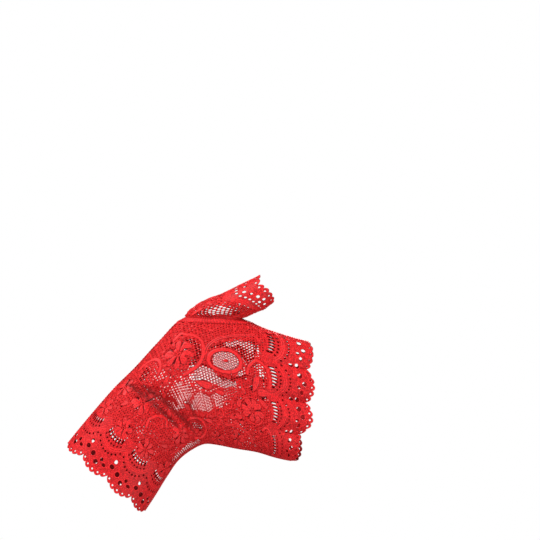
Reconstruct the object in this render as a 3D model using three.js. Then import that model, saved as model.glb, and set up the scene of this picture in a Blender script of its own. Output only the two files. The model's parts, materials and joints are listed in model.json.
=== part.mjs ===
import * as THREE from 'three';

// A right-hand evening mitten of stretch lace, in the form it has on the hand, without the hand.
// Millimetres. +X runs to the fingers, +Z to the thumb, and the back of the hand faces -Y.
// The origin is the middle of the wrist opening. One opening takes all four fingers, and a
// short tube takes the thumb.

// The form that the lace is stretched over
const hand_reach = 136.5;
const hand_rise = 65;
const wrist_bend = 49;
const palm_width = 85;
const palm_depth = 30;
const section_roundness = 0.9;

// The lace and its sewing
const lace_wall = 1;
const seam_width = 2;
const seam_height = 1.5;
const sewing_gap = 0.3;

// The thumb: where its seam meets the thumb side, as shares of the hand's length
const thumb_starts = 0.535;
const thumb_ends = 0.757;
const thumb_reach = 35;
const thumb_rise = 20.5;
const thumb_turn = 56;
const thumb_width = 19;
const thumb_depth = 18;

// The scalloped borders
const scallop_pitch = 22;
const thumb_scallop_pitch = 20;
const scallop_depth = 5;
const picots_per_scallop = 5;
const picot_depth = 1.5;
const border_depth = 14;
const eyelet_size = 3.3;

// The net between the worked flowers
const net_cell_length = 3.8;
const net_cell_width = 2.7;
const net_bar = 1.3;

// The soft forms
const fold_depth = 4.8;
const fold_breadth = 4.2;
const finger_hump_height = 4.6;
const finger_set_back = 9;
const fingers_begin = 0.74;

// How finely the lace is divided
const mesh_pitch = 5.6;
const columns_across = 14;
const side_bow = 0.02;
const eyelet_sides = 7;
const net_sides = 6;

// Sections square to the hand, evenly spaced from the hem to the finger edge, as shares:
// the middle's reach and rise, the lean in parts of the wrist's bend, the width in parts of
// the palm's width, and the depth to the back and to the palm in parts of the palm's depth.
const hand_columns = ['reach', 'rise', 'lean', 'width', 'back', 'palm'];
const hand_sections = [
  [0.000, 0.000, 1.000, 0.781, 0.70, 0.70],
  [0.066, 0.189, 0.970, 0.765, 0.68, 0.68],
  [0.132, 0.378, 0.923, 0.743, 0.66, 0.66],
  [0.201, 0.558, 0.837, 0.732, 0.63, 0.64],
  [0.284, 0.717, 0.688, 0.760, 0.58, 0.64],
  [0.368, 0.869, 0.491, 0.852, 0.53, 0.68],
  [0.462, 0.994, 0.283, 1.013, 0.48, 0.72],
  [0.572, 1.011, 0.199, 1.085, 0.47, 0.68],
  [0.681, 0.957, 0.163, 1.049, 0.47, 0.60],
  [0.784, 0.869, 0.090, 0.985, 0.46, 0.52],
  [0.891, 0.805, -0.037, 0.935, 0.43, 0.46],
  [1.000, 0.760, -0.069, 0.912, 0.40, 0.42],
];

// Sections of the thumb from its seam to its edge, from the middle of the seam, as shares of
// the thumb's reach, rise, turn, width and depth.
const thumb_columns = ['reach', 'rise', 'lean', 'width', 'depth'];
const thumb_sections = [
  [0.000, 0.000, 0.000, 2.190, 1.35],
  [0.075, 0.200, 0.140, 2.000, 1.27],
  [0.233, 0.356, 0.255, 1.730, 1.20],
  [0.477, 0.517, 0.430, 1.390, 1.12],
  [0.747, 0.737, 0.790, 1.150, 1.05],
  [1.000, 1.000, 1.000, 1.000, 1.00],
];

// Creases that the bent wrist and the fingers pull, as shares of the panel: from one end to
// the other, with depth and breadth in parts of the fold's. Below 0 the crease stands proud.
const fold_columns = ['palm', 'across', 'along', 'to_across', 'to_along', 'depth', 'breadth'];
const folds = [
  [0, 0.09, 0.310, 0.80, 0.385, 1.00, 1.0],
  [0, 0.21, 0.345, 0.88, 0.442, 1.00, 1.0],
  [0, 0.15, 0.328, 0.84, 0.412, -0.70, 0.9],
  [0, 0.55, 0.470, 0.92, 0.480, 0.60, 1.0],
  [1, 0.20, 0.330, 0.85, 0.390, 0.80, 1.1],
  [1, 0.30, 0.400, 0.90, 0.450, 0.80, 1.0],
  [1, 0.25, 0.800, 0.75, 0.770, 0.60, 1.2],
];

// The palm's soft mounds and hollow, as shares of the panel, with height in parts of the
// palm's depth and breadth in parts of its width.
const mound_columns = ['palm', 'across', 'along', 'height', 'breadth'];
const mounds = [
  [1, 0.24, 0.540, 0.12, 0.24],
  [1, 0.78, 0.540, 0.10, 0.22],
  [1, 0.55, 0.680, -0.10, 0.20],
  [0, 0.14, 0.600, -0.07, 0.12],
];

// How far the finger edge is set back on each finger, in parts of the set-back, and how high
// the lace stands on that finger, for the back and for the palm.
const finger_columns = ['across', 'back_set', 'palm_set', 'height'];
const fingers = [
  [0.125, 0.28, 0.25, 0.85],
  [0.375, 0.05, 0.20, 1.00],
  [0.625, 0.05, 0.30, 0.95],
  [0.875, 0.95, 0.70, 0.80],
];

// The eyelets of one scallop, from its middle and its tip, as shares of pitch and border.
const eyelet_columns = ['across', 'inland', 'size'];
const scallop_eyelets = [
  [-0.27, 0.71, 1.00],
  [-0.05, 0.50, 1.00],
  [0.07, 0.76, 0.80],
  [0.22, 0.60, 0.90],
];

// Windows of open net: the middle as shares of the panel, then how many cells each way.
const window_columns = ['palm', 'across', 'along', 'cells_along', 'cells_across'];
const net_windows = [
  [0, 0.38, 0.650, 2, 3],
  [0, 0.22, 0.720, 2, 2],
  [0, 0.50, 0.520, 3, 2],
  [0, 0.42, 0.800, 1, 3],
  [0, 0.375, 0.155, 1, 3],
  [0, 0.625, 0.155, 1, 3],
  [1, 0.42, 0.640, 2, 2],
  [1, 0.58, 0.480, 2, 2],
  [1, 0.75, 0.760, 2, 1],
  [1, 0.375, 0.155, 1, 3],
];

const half_turn = Math.PI;
const degrees = half_turn / 180;
const seam_half = seam_width / 2;
const panel_to_seam = seam_half + sewing_gap + lace_wall / 2;
const tube_to_seam = seam_half + sewing_gap;

function row(columns, values) {
  return Object.fromEntries(columns.map((name, i) => [name, values[i]]));
}

// A smooth value between the evenly spaced rows of a table of sections.
function between(table, share) {
  const last = table.length - 1;
  const at = Math.min(Math.max(share, 0), 1) * last;
  const i = Math.min(Math.floor(at), last - 1);
  const f = at - i;
  return table[0].map((_, k) => {
    const b = table[i][k];
    const c = table[i + 1][k];
    const a = i === 0 ? 2 * b - c : table[i - 1][k];
    const d = i === last - 1 ? 2 * c - b : table[i + 2][k];
    const curve = (2 * a - 5 * b + 4 * c - d) * f * f + (3 * b - a - 3 * c + d) * f * f * f;
    return b + 0.5 * ((c - a) * f + curve);
  });
}

function smooth(share) {
  const s = Math.min(Math.max(share, 0), 1);
  return s * s * (3 - 2 * s);
}

function rounded(value) {
  return Math.sign(value) * Math.abs(value) ** section_roundness;
}

function handSection(along) {
  const s = row(hand_columns, between(hand_sections, along));
  const lean = s.lean * wrist_bend * degrees;
  return {
    middle: new THREE.Vector3(s.reach * hand_reach, 0, s.rise * hand_rise),
    up: new THREE.Vector3(-Math.sin(lean), 0, Math.cos(lean)),
    forward: new THREE.Vector3(Math.cos(lean), 0, Math.sin(lean)),
    half_width: (s.width * palm_width) / 2,
    back: -s.back * palm_depth,
    palm: s.palm * palm_depth,
  };
}

// A point round the hand: turn 0 is the thumb side's outline, and half a turn the little side's.
function roundHand(section, turn, palm) {
  const width = rounded(Math.cos(turn)) * section.half_width;
  const depth = rounded(Math.sin(turn)) * (palm ? section.palm : section.back);
  return section.middle.clone().addScaledVector(section.up, width).setY(depth);
}

// How far round the section each step of the turn has come, and the share that the seams take.
const girth_steps = 48;
const girths = new Map();

function girth(along, palm) {
  const name = `${along.toFixed(6)} ${palm}`;
  if (!girths.has(name)) {
    const section = handSection(along);
    const run = [0];
    let before = roundHand(section, 0, palm);
    for (let i = 1; i <= girth_steps; i += 1) {
      const point = roundHand(section, (half_turn * i) / girth_steps, palm);
      run.push(run[i - 1] + point.distanceTo(before));
      before = point;
    }
    const length = run[girth_steps];
    girths.set(name, { section, run, length, edge: (seam_half + sewing_gap) / length });
  }
  return girths.get(name);
}

function turnAt(round, across) {
  const goal = (round.edge + across * (1 - 2 * round.edge)) * round.length;
  let i = 1;
  while (i < girth_steps && round.run[i] < goal) i += 1;
  const f = (goal - round.run[i - 1]) / (round.run[i] - round.run[i - 1]);
  return (half_turn * (i - 1 + f)) / girth_steps;
}

function acrossAt(round, turn) {
  const step = Math.min(Math.max((turn * girth_steps) / half_turn, 0), girth_steps - 1e-6);
  const i = Math.floor(step);
  const reach = round.run[i] + (step - i) * (round.run[i + 1] - round.run[i]);
  return (reach / round.length - round.edge) / (1 - 2 * round.edge);
}

// The size of a flat panel follows the hand: its middle line and its mean half girth.
const measure_steps = 24;

function panelSize() {
  const steps = [...Array(measure_steps + 1).keys()].map((i) => i / measure_steps);
  const middles = steps.map((s) => handSection(s).middle);
  const length = middles.slice(1).reduce((sum, m, i) => sum + m.distanceTo(middles[i]), 0);
  const width = steps.reduce((sum, s) => sum + girth(s, false).length, 0) / steps.length;
  return { length, width };
}

const panel = panelSize();

// How far a point of the panel stands out from the plain form.
function creaseDepth(fold, x, y) {
  const from = new THREE.Vector2(fold.along * panel.length, fold.across * panel.width);
  const to = new THREE.Vector2(fold.to_along * panel.length, fold.to_across * panel.width);
  const run = to.clone().sub(from);
  const offset = new THREE.Vector2(x, y).sub(from);
  const share = offset.dot(run) / run.lengthSq();
  const side = Math.abs(offset.cross(run)) / run.length();
  const fade = smooth(share / 0.25) * smooth((1 - share) / 0.25);
  return fold.depth * fade * Math.exp(-((side / (fold.breadth * fold_breadth)) ** 2));
}

function moundHeight(mound, x, y) {
  const dx = x - mound.along * panel.length;
  const dy = y - mound.across * panel.width;
  const breadth = mound.breadth * palm_width;
  return mound.height * palm_depth * Math.exp(-(dx * dx + dy * dy) / (breadth * breadth));
}

function fingerAt(across) {
  const rows = fingers.map((f) => row(finger_columns, f));
  const next = rows.findIndex((f) => f.across > across);
  if (next === 0) return rows[0];
  if (next < 0) return rows[rows.length - 1];
  const a = rows[next - 1];
  const b = rows[next];
  const f = smooth((across - a.across) / (b.across - a.across));
  const mix = (name) => a[name] + (b[name] - a[name]) * f;
  return { back_set: mix('back_set'), palm_set: mix('palm_set'), height: mix('height') };
}

function standOut(along, across, palm) {
  const x = along * panel.length;
  const y = across * panel.width;
  let out = 0;
  for (const values of folds) {
    const fold = row(fold_columns, values);
    if (Boolean(fold.palm) === palm) out -= fold_depth * creaseDepth(fold, x, y);
  }
  for (const values of mounds) {
    const mound = row(mound_columns, values);
    if (Boolean(mound.palm) === palm) out += moundHeight(mound, x, y);
  }
  const onFinger = Math.abs(Math.sin(fingers.length * half_turn * across)) ** 0.7;
  const reach = smooth((along - fingers_begin) / (1 - fingers_begin));
  out += finger_hump_height * fingerAt(across).height * (onFinger - 0.5) * reach;
  return out;
}

function panelPoint(along, across, palm) {
  const round = girth(along, palm);
  const turn = turnAt(round, across);
  const point = roundHand(round.section, turn, palm);
  const out = standOut(along, across, palm) * Math.sin(turn);
  return point.setY(point.y + (palm ? out : -out));
}

// A wall's point: the surface's, moved square to it.
const tangent_step = 0.004;

function liftedPoint(surface, u, v, lift) {
  const du = surface(u + tangent_step, v).sub(surface(u - tangent_step, v));
  const dv = surface(u, v + tangent_step).sub(surface(u, v - tangent_step));
  const out = du.cross(dv).normalize();
  return surface(u, v).addScaledVector(out, lift);
}

// The flat cut: an outline with holes and inner points becomes even triangles.
function crossArea(a, b, c) {
  return (b[0] - a[0]) * (c[1] - a[1]) - (b[1] - a[1]) * (c[0] - a[0]);
}

function insideCircle(a, b, c, d) {
  const rows = [a, b, c].map((p) => {
    const x = p[0] - d[0];
    const y = p[1] - d[1];
    return [x, y, x * x + y * y];
  });
  const [p, q, r] = rows;
  return (
    p[0] * (q[1] * r[2] - q[2] * r[1]) -
    p[1] * (q[0] * r[2] - q[2] * r[0]) +
    p[2] * (q[0] * r[1] - q[1] * r[0])
  );
}

function addInnerPoint(points, triangles, point) {
  const at = triangles.findIndex(([a, b, c]) => {
    const [p, q, r] = [points[a], points[b], points[c]];
    return [crossArea(p, q, point), crossArea(q, r, point), crossArea(r, p, point)].every((s) => s >= 0);
  });
  if (at < 0) return;
  const [a, b, c] = triangles[at];
  const n = points.push(point) - 1;
  triangles[at] = [a, b, n];
  triangles.push([b, c, n], [c, a, n]);
}

function flipLongSides(points, triangles) {
  const least_area = 1e-7;
  const least_gain = 1e-9;
  for (let pass = 0; pass < 80; pass += 1) {
    const sides = new Map();
    triangles.forEach((triangle, i) => {
      for (let k = 0; k < 3; k += 1) {
        const [a, b] = [triangle[k], triangle[(k + 1) % 3]];
        const name = `${Math.min(a, b)} ${Math.max(a, b)}`;
        if (!sides.has(name)) sides.set(name, []);
        sides.get(name).push([i, a, b, triangle[(k + 2) % 3]]);
      }
    });
    const changed = new Set();
    for (const pair of sides.values()) {
      if (pair.length < 2) continue;
      const [[i, a, b, c], [j, , , d]] = pair;
      if (changed.has(i) || changed.has(j)) continue;
      const [pa, pb, pc, pd] = [a, b, c, d].map((n) => points[n]);
      if (insideCircle(pa, pb, pc, pd) <= least_gain) continue;
      if (crossArea(pc, pa, pd) < least_area || crossArea(pd, pb, pc) < least_area) continue;
      triangles[i] = [c, a, d];
      triangles[j] = [d, b, c];
      changed.add(i).add(j);
    }
    if (changed.size === 0) return;
  }
}

function nearAny(point, rings, reach) {
  return rings.some((ring) => ring.some((p) => Math.hypot(p[0] - point[0], p[1] - point[1]) < reach));
}

function insideRing(point, ring) {
  let inside = false;
  for (let i = 0, j = ring.length - 1; i < ring.length; j = i, i += 1) {
    const [a, b] = [ring[i], ring[j]];
    if (a[1] > point[1] === b[1] > point[1]) continue;
    if (point[0] < ((b[0] - a[0]) * (point[1] - a[1])) / (b[1] - a[1]) + a[0]) inside = !inside;
  }
  return inside;
}

function flatCut(outline, holes, innerPoints) {
  const points = [...outline, ...holes.flat()];
  const vectors = (ring) => ring.map((p) => new THREE.Vector2(p[0], p[1]));
  const triangles = THREE.ShapeUtils.triangulateShape(vectors(outline), holes.map(vectors));
  triangles.forEach((t, i) => {
    if (crossArea(points[t[0]], points[t[1]], points[t[2]]) < 0) triangles[i] = [t[0], t[2], t[1]];
  });
  flipLongSides(points, triangles);
  for (const point of innerPoints) {
    if (!insideRing(point, outline)) continue;
    if (holes.some((hole) => insideRing(point, hole))) continue;
    if (nearAny(point, [outline], mesh_pitch * 0.35) || nearAny(point, holes, mesh_pitch * 0.3)) continue;
    addInnerPoint(points, triangles, point);
  }
  flipLongSides(points, triangles);
  return { points, triangles };
}

// The cut becomes a closed wall: an outer and an inner skin, joined along every open edge.
function wallFromCut(cut, place) {
  const half = lace_wall / 2;
  const skins = [half, -half].map((lift) => cut.points.map((p) => place(p[0], p[1], lift)));
  const found = new Map();
  const one = skins[0].map((p, i) => {
    const name = [p.x, p.y, p.z].map((value) => value.toFixed(3)).join(' ');
    if (!found.has(name)) found.set(name, i);
    return found.get(name);
  });
  const triangles = cut.triangles.map((t) => t.map((i) => one[i]));
  const count = cut.points.length;
  const index = [];
  const open = new Map();
  for (const [a, b, c] of triangles) {
    index.push(a, b, c, a + count, c + count, b + count);
    for (const [from, to] of [[a, b], [b, c], [c, a]]) {
      if (open.has(`${to} ${from}`)) open.delete(`${to} ${from}`);
      else open.set(`${from} ${to}`, [from, to]);
    }
  }
  for (const [from, to] of open.values()) {
    index.push(to, from, from + count, to, from + count, to + count);
  }
  return closedGeometry(skins.flat(), index);
}

function closedGeometry(points, index) {
  let volume = 0;
  for (let i = 0; i < index.length; i += 3) {
    const [a, b, c] = [points[index[i]], points[index[i + 1]], points[index[i + 2]]];
    volume += a.dot(b.clone().cross(c));
  }
  const outward = volume > 0 ? index : index.slice().reverse();
  const geometry = new THREE.BufferGeometry();
  geometry.setAttribute('position', new THREE.Float32BufferAttribute(points.flatMap((p) => p.toArray()), 3));
  geometry.setIndex(outward);
  geometry.computeVertexNormals();
  return geometry;
}

// A scalloped edge with picots: pairs of the place across and the drop from the tips.
function scallopedEdge(width, pitch) {
  const count = Math.max(Math.round(width / pitch), 1);
  const steps = count * picots_per_scallop * 3;
  return [...Array(steps + 1).keys()].map((i) => {
    const across = i / steps;
    const arch = Math.abs(Math.sin(half_turn * count * across)) ** 0.6;
    const picot = Math.abs(Math.sin((half_turn * i) / 3));
    return [across * width, scallop_depth * (1 - arch) + picot_depth * (1 - picot)];
  });
}

function ring(x, y, length, width, sides) {
  return [...Array(sides).keys()].map((i) => {
    const turn = (2 * half_turn * (i + 0.25)) / sides;
    return [x + (Math.cos(turn) * length) / 2, y + (Math.sin(turn) * width) / 2];
  });
}

function borderEyelets(width, pitch, placeAt) {
  const count = Math.max(Math.round(width / pitch), 1);
  const holes = [];
  for (let k = 0; k < count; k += 1) {
    for (const values of scallop_eyelets) {
      const eyelet = row(eyelet_columns, values);
      const across = ((k + 0.5 + eyelet.across) * width) / count;
      const [x, y] = placeAt(eyelet.inland * border_depth, across);
      holes.push(ring(x, y, eyelet_size * eyelet.size, eyelet_size * eyelet.size, eyelet_sides));
    }
  }
  return holes;
}

function netHoles(palm) {
  const holes = [];
  for (const values of net_windows) {
    const window = row(window_columns, values);
    if (Boolean(window.palm) !== palm) continue;
    for (let i = 0; i < window.cells_along; i += 1) {
      for (let j = 0; j < window.cells_across; j += 1) {
        const step = i - (window.cells_along - 1) / 2;
        const side = j - (window.cells_across - 1) / 2 + (i % 2 ? 0.25 : -0.25);
        const x = window.along * panel.length + step * (net_cell_length + net_bar);
        const y = window.across * panel.width + side * (net_cell_width + net_bar);
        holes.push(ring(x, y, net_cell_length, net_cell_width, net_sides));
      }
    }
  }
  return holes;
}

// The thumb's seam lies in a plane square to the view of the back, through two points of the
// thumb side's outline.
function thumbSide(along) {
  return roundHand(handSection(along), 0, false);
}

const seam_start = thumbSide(thumb_starts);
const seam_end = thumbSide(thumb_ends);
const seam_line = seam_end.clone().sub(seam_start).normalize();
const seam_up = new THREE.Vector3(-seam_line.z, 0, seam_line.x);

function heightOverSeam(point) {
  return point.clone().sub(seam_start).dot(seam_up);
}

// The place where the value of a function passes its goal, between two ends that hold it.
function solve(value, low, high, goal) {
  let [a, b] = [low, high];
  const rising = value(high) > value(low);
  for (let i = 0; i < 50; i += 1) {
    const middle = (a + b) / 2;
    if (value(middle) < goal === rising) a = middle;
    else b = middle;
  }
  return (a + b) / 2;
}

const thumb_top = (thumb_starts + thumb_ends) / 2;
const before_thumb = thumb_starts - 0.12;
const after_thumb = thumb_ends + 0.12;

function outlineAtHeight(height) {
  const value = (along) => heightOverSeam(thumbSide(along));
  return [solve(value, before_thumb, thumb_top, height), solve(value, thumb_top, after_thumb, height)];
}

// A loop round the hand at a height over the seam: turn 0 is at the wrist's end of the seam.
function thumbLoopPoint(height, turn, palm) {
  const [first, last] = outlineAtHeight(height);
  const share = (1 - Math.cos(turn)) / 2;
  const at = thumbSide(first).lerp(thumbSide(last), share);
  const offset = (along) => {
    const section = handSection(along);
    return at.clone().sub(section.middle).dot(section.forward);
  };
  const along = solve(offset, before_thumb, after_thumb, 0);
  const section = handSection(along);
  const width = at.clone().sub(section.middle).dot(section.up) / section.half_width;
  const round = Math.acos(Math.min(width, 1) ** (1 / section_roundness));
  const point = roundHand(section, round, palm);
  return { along, across: acrossAt(girth(along, palm), round), point };
}

// The thumb's own sections
function thumbSection(out) {
  const s = row(thumb_columns, between(thumb_sections, out));
  const lean = s.lean * thumb_turn * degrees;
  const middle = seam_start.clone().lerp(seam_end, 0.5);
  const line = seam_line.clone().multiplyScalar(Math.cos(lean)).addScaledVector(seam_up, -Math.sin(lean));
  middle.x += s.reach * thumb_reach;
  middle.z += s.rise * thumb_rise;
  return { middle, line, half_width: (s.width * thumb_width) / 2, half_depth: (s.depth * thumb_depth) / 2 };
}

const thumb_root_share = 0.5;

function thumbPoint(out, turn, lift) {
  const part = ((turn % (2 * half_turn)) + 2 * half_turn) % (2 * half_turn);
  const palm = part > half_turn;
  const side = palm ? 2 * half_turn - part : part;
  const s = thumbSection(out);
  const point = s.middle.clone().addScaledVector(s.line, -Math.cos(side) * s.half_width);
  point.y = Math.sin(side) * s.half_depth * (palm ? 1 : -1);
  const outward = s.line.clone().multiplyScalar(-Math.cos(side) / s.half_width);
  outward.y = (Math.sin(side) / s.half_depth) * (palm ? 1 : -1);
  const root = thumbRoot(side, palm);
  return root.lerp(point, smooth(out / thumb_root_share)).addScaledVector(outward.normalize(), lift);
}

const roots = new Map();

function thumbRoot(side, palm) {
  const name = `${side.toFixed(7)} ${palm}`;
  if (!roots.has(name)) roots.set(name, thumbLoopPoint(tube_to_seam, side, palm).point);
  return roots.get(name).clone();
}

function thumbSize() {
  const steps = 40;
  const at = (out) => [...Array(steps + 1).keys()].map((i) => thumbPoint(out, (2 * half_turn * i) / steps, 0));
  const length = (loop) => loop.slice(1).reduce((sum, p, i) => sum + p.distanceTo(loop[i]), 0);
  const back = half_turn / 2;
  return { width: length(at(0.7)), length: thumbPoint(0, back, 0).distanceTo(thumbPoint(1, back, 0)) };
}

const thumb = thumbSize();

// One lace panel, from the hem to the fingers, with its thumb side cut away along the thumb's seam
function lacePanel(palm) {
  const set = (across) => fingerAt(across / panel.width)[palm ? 'palm_set' : 'back_set'] * finger_set_back;
  const hem = scallopedEdge(panel.width, scallop_pitch).map(([across, drop]) => [drop, across]);
  const fingerEdge = scallopedEdge(panel.width, scallop_pitch)
    .map(([across, drop]) => [panel.length - drop - set(across), across]);
  const steps = Math.round(panel.length / mesh_pitch);
  const side = (from, to, across) => {
    const count = Math.max(Math.round((steps * Math.abs(to[0] - from[0])) / panel.length), 1);
    return [...Array(Math.max(count - 1, 0)).keys()].map((i) => {
      const share = (i + 1) / count;
      const bow = side_bow * 4 * share * (1 - share);
      return [from[0] + (to[0] - from[0]) * share, across === 0 ? bow : across - bow];
    });
  };
  const opening_steps = Math.round(thumb.width / 2 / (mesh_pitch * 0.6));
  const opening = [...Array(opening_steps + 1).keys()].map((i) => {
    const at = thumbLoopPoint(-panel_to_seam, (half_turn * i) / opening_steps, palm);
    return [at.along * panel.length, Math.max(at.across, 0) * panel.width];
  });
  const first = opening[0];
  const last = opening[opening.length - 1];
  first[1] = 0;
  last[1] = 0;
  const outline = [
    ...hem.slice().reverse(),
    ...side(hem[0], first, 0),
    ...opening,
    ...side(last, fingerEdge[0], 0),
    ...fingerEdge,
    ...side(fingerEdge[fingerEdge.length - 1], hem[hem.length - 1], panel.width),
  ];
  const holes = [
    ...borderEyelets(panel.width, scallop_pitch, (inland, across) => [inland, across]),
    ...borderEyelets(panel.width, scallop_pitch,
      (inland, across) => [panel.length - inland - set(across), across]),
    ...netHoles(palm),
  ];
  const inner = [];
  for (let i = 1; i < steps; i += 1) {
    for (let j = 1; j < columns_across; j += 1) {
      const share = (j + (i % 2 ? 0.25 : -0.25)) / columns_across;
      inner.push([(i * panel.length) / steps, (panel.width * (1 - Math.cos(half_turn * share))) / 2]);
    }
  }
  const surface = (along, across) => panelPoint(along, across, palm);
  const outward = palm ? -1 : 1;
  return wallFromCut(flatCut(outline.reverse(), holes, inner), (x, y, lift) => {
    const across = Math.min(Math.max(y / panel.width, 0), 1);
    return liftedPoint(surface, x / panel.length, across, lift * outward);
  });
}

// The thumb's tube, cut flat from crotch to crotch and closed on itself
function thumbTube() {
  const edge = scallopedEdge(thumb.width, thumb_scallop_pitch);
  const tip = edge.map(([around, drop]) => [thumb.length - drop, around]);
  const root_steps = Math.round(thumb.width / (mesh_pitch * 0.5));
  const root = [...Array(root_steps + 1).keys()]
    .map((i) => [side_bow * Math.sin((half_turn * i) / root_steps), (thumb.width * i) / root_steps]);
  const rows = Math.round(thumb.length / (mesh_pitch * 0.7));
  const border = (around) => [...Array(rows - 1).keys()]
    .map((i) => [(tip[0][0] * (i + 1)) / rows, around]);
  const bowed = (points, way) => points.map(([x, y], i) => {
    return [x, y + way * side_bow * Math.sin((half_turn * (i + 1)) / rows)];
  });
  const outline = [
    ...root.slice().reverse(),
    ...bowed(border(0), -1),
    ...tip,
    ...bowed(border(thumb.width), -1).reverse(),
  ];
  const holes = borderEyelets(thumb.width, thumb_scallop_pitch,
    (inland, around) => [thumb.length - inland, around]);
  const inner = [];
  const columns = Math.round(thumb.width / (mesh_pitch * 0.8));
  for (let i = 1; i < rows; i += 1) {
    for (let j = 0; j < columns; j += 1) {
      inner.push([(i * thumb.length) / rows, ((j + (i % 2 ? 0.75 : 0.25)) * thumb.width) / columns]);
    }
  }
  return wallFromCut(flatCut(outline.reverse(), holes, inner), (x, y, lift) => {
    return thumbPoint(x / thumb.length, (y / thumb.width) * 2 * half_turn + half_turn, lift);
  });
}

// An overlocked seam: a rounded cord along frames that give its place, its side and its outer way
const seam_sides = 6;

function seamCord(frames, closed) {
  const points = [];
  const index = [];
  for (const { at, side, out } of frames) {
    for (let k = 0; k < seam_sides; k += 1) {
      const turn = (2 * half_turn * k) / seam_sides;
      points.push(at.clone()
        .addScaledVector(side, Math.cos(turn) * seam_half)
        .addScaledVector(out, (Math.sin(turn) * seam_height) / 2));
    }
  }
  const spans = closed ? frames.length : frames.length - 1;
  for (let i = 0; i < spans; i += 1) {
    const next = (i + 1) % frames.length;
    for (let k = 0; k < seam_sides; k += 1) {
      const m = (k + 1) % seam_sides;
      const [a, b] = [i * seam_sides + k, i * seam_sides + m];
      const [c, d] = [next * seam_sides + k, next * seam_sides + m];
      index.push(a, c, b, b, c, d);
    }
  }
  if (!closed) {
    const last = (frames.length - 1) * seam_sides;
    for (let k = 1; k < seam_sides - 1; k += 1) {
      index.push(0, k, k + 1, last, last + k + 1, last + k);
    }
  }
  return closedGeometry(points, index);
}

function sideSeam(from, to, turn) {
  const count = Math.max(Math.round(((to - from) * panel.length) / (mesh_pitch * 0.8)), 2);
  const point = (along) => roundHand(handSection(along), turn, false).setY(0);
  const frames = [...Array(count + 1).keys()].map((i) => {
    const along = from + ((to - from) * i) / count;
    const way = point(along + 0.01).sub(point(along - 0.01)).normalize();
    return { at: point(along), side: new THREE.Vector3(0, 1, 0), out: new THREE.Vector3(-way.z, 0, way.x) };
  });
  return seamCord(frames, false);
}

function thumbSeam() {
  const count = 2 * Math.round(thumb.width / (mesh_pitch * 0.9));
  const point = (turn) => {
    const palm = turn > half_turn;
    return thumbLoopPoint(0, palm ? 2 * half_turn - turn : turn, palm).point;
  };
  const turns = [...Array(count).keys()].map((i) => (2 * half_turn * (i + 0.5)) / count);
  const frames = turns.map((turn) => {
    const way = point(turn + 0.02).sub(point(turn - 0.02)).normalize();
    return { at: point(turn), side: seam_up, out: way.cross(seam_up).normalize() };
  });
  return seamCord(frames, true);
}

const lace_red = new THREE.MeshStandardMaterial({ color: 0xde1e24, roughness: 0.65, metalness: 0 });
const seam_red = new THREE.MeshStandardMaterial({ color: 0xb81219, roughness: 0.7, metalness: 0 });

function named(name, geometry, material) {
  const mesh = new THREE.Mesh(geometry, material.clone());
  mesh.name = name;
  return mesh;
}

const seam_end_room = seam_half + sewing_gap + seam_half;
const [cuff_seam_ends, index_seam_starts] = outlineAtHeight(-seam_end_room);
const hem_valley = scallop_depth / panel.length;
const index_edge = 1 - (scallop_depth + fingers[0][1] * finger_set_back) / panel.length;
const little_edge = 1 - (scallop_depth + fingers[3][1] * finger_set_back) / panel.length;

const mitten = new THREE.Group();
mitten.add(
  named('back_panel', lacePanel(false), lace_red),
  named('palm_panel', lacePanel(true), lace_red),
  named('thumb_tube', thumbTube(), lace_red),
  named('thumb_seam', thumbSeam(), seam_red),
  named('cuff_side_seam', sideSeam(hem_valley, cuff_seam_ends, 0), seam_red),
  named('index_side_seam', sideSeam(index_seam_starts, index_edge, 0), seam_red),
  named('little_side_seam', sideSeam(hem_valley, little_edge, half_turn), seam_red),
);

export default mitten;
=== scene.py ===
import bpy
import bmesh
import json
import math
import random
from mathutils import Matrix, Vector, noise

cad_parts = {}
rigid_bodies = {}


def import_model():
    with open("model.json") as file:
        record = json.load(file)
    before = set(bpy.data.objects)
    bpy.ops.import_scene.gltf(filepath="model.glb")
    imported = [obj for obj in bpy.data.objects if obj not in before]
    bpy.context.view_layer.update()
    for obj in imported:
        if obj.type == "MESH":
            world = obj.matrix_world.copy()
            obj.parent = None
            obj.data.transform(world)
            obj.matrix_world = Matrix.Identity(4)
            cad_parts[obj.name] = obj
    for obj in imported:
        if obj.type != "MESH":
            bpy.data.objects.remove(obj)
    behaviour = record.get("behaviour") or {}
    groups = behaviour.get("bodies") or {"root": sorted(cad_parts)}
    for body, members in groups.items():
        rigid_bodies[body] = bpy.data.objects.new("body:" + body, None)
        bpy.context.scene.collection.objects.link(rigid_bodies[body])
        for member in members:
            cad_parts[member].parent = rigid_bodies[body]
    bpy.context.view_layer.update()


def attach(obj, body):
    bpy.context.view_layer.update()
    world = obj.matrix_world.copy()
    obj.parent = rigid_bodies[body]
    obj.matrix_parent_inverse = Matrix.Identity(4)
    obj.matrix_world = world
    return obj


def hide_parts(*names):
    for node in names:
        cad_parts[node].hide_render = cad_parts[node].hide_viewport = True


for start_object in list(bpy.data.objects):
    bpy.data.objects.remove(start_object)

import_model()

# The drift of the net's threads is the same in every run
noise.seed_set(7)

# Lengths are in millimetres on the lace and in metres in the scene.
MM = 0.001

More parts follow.
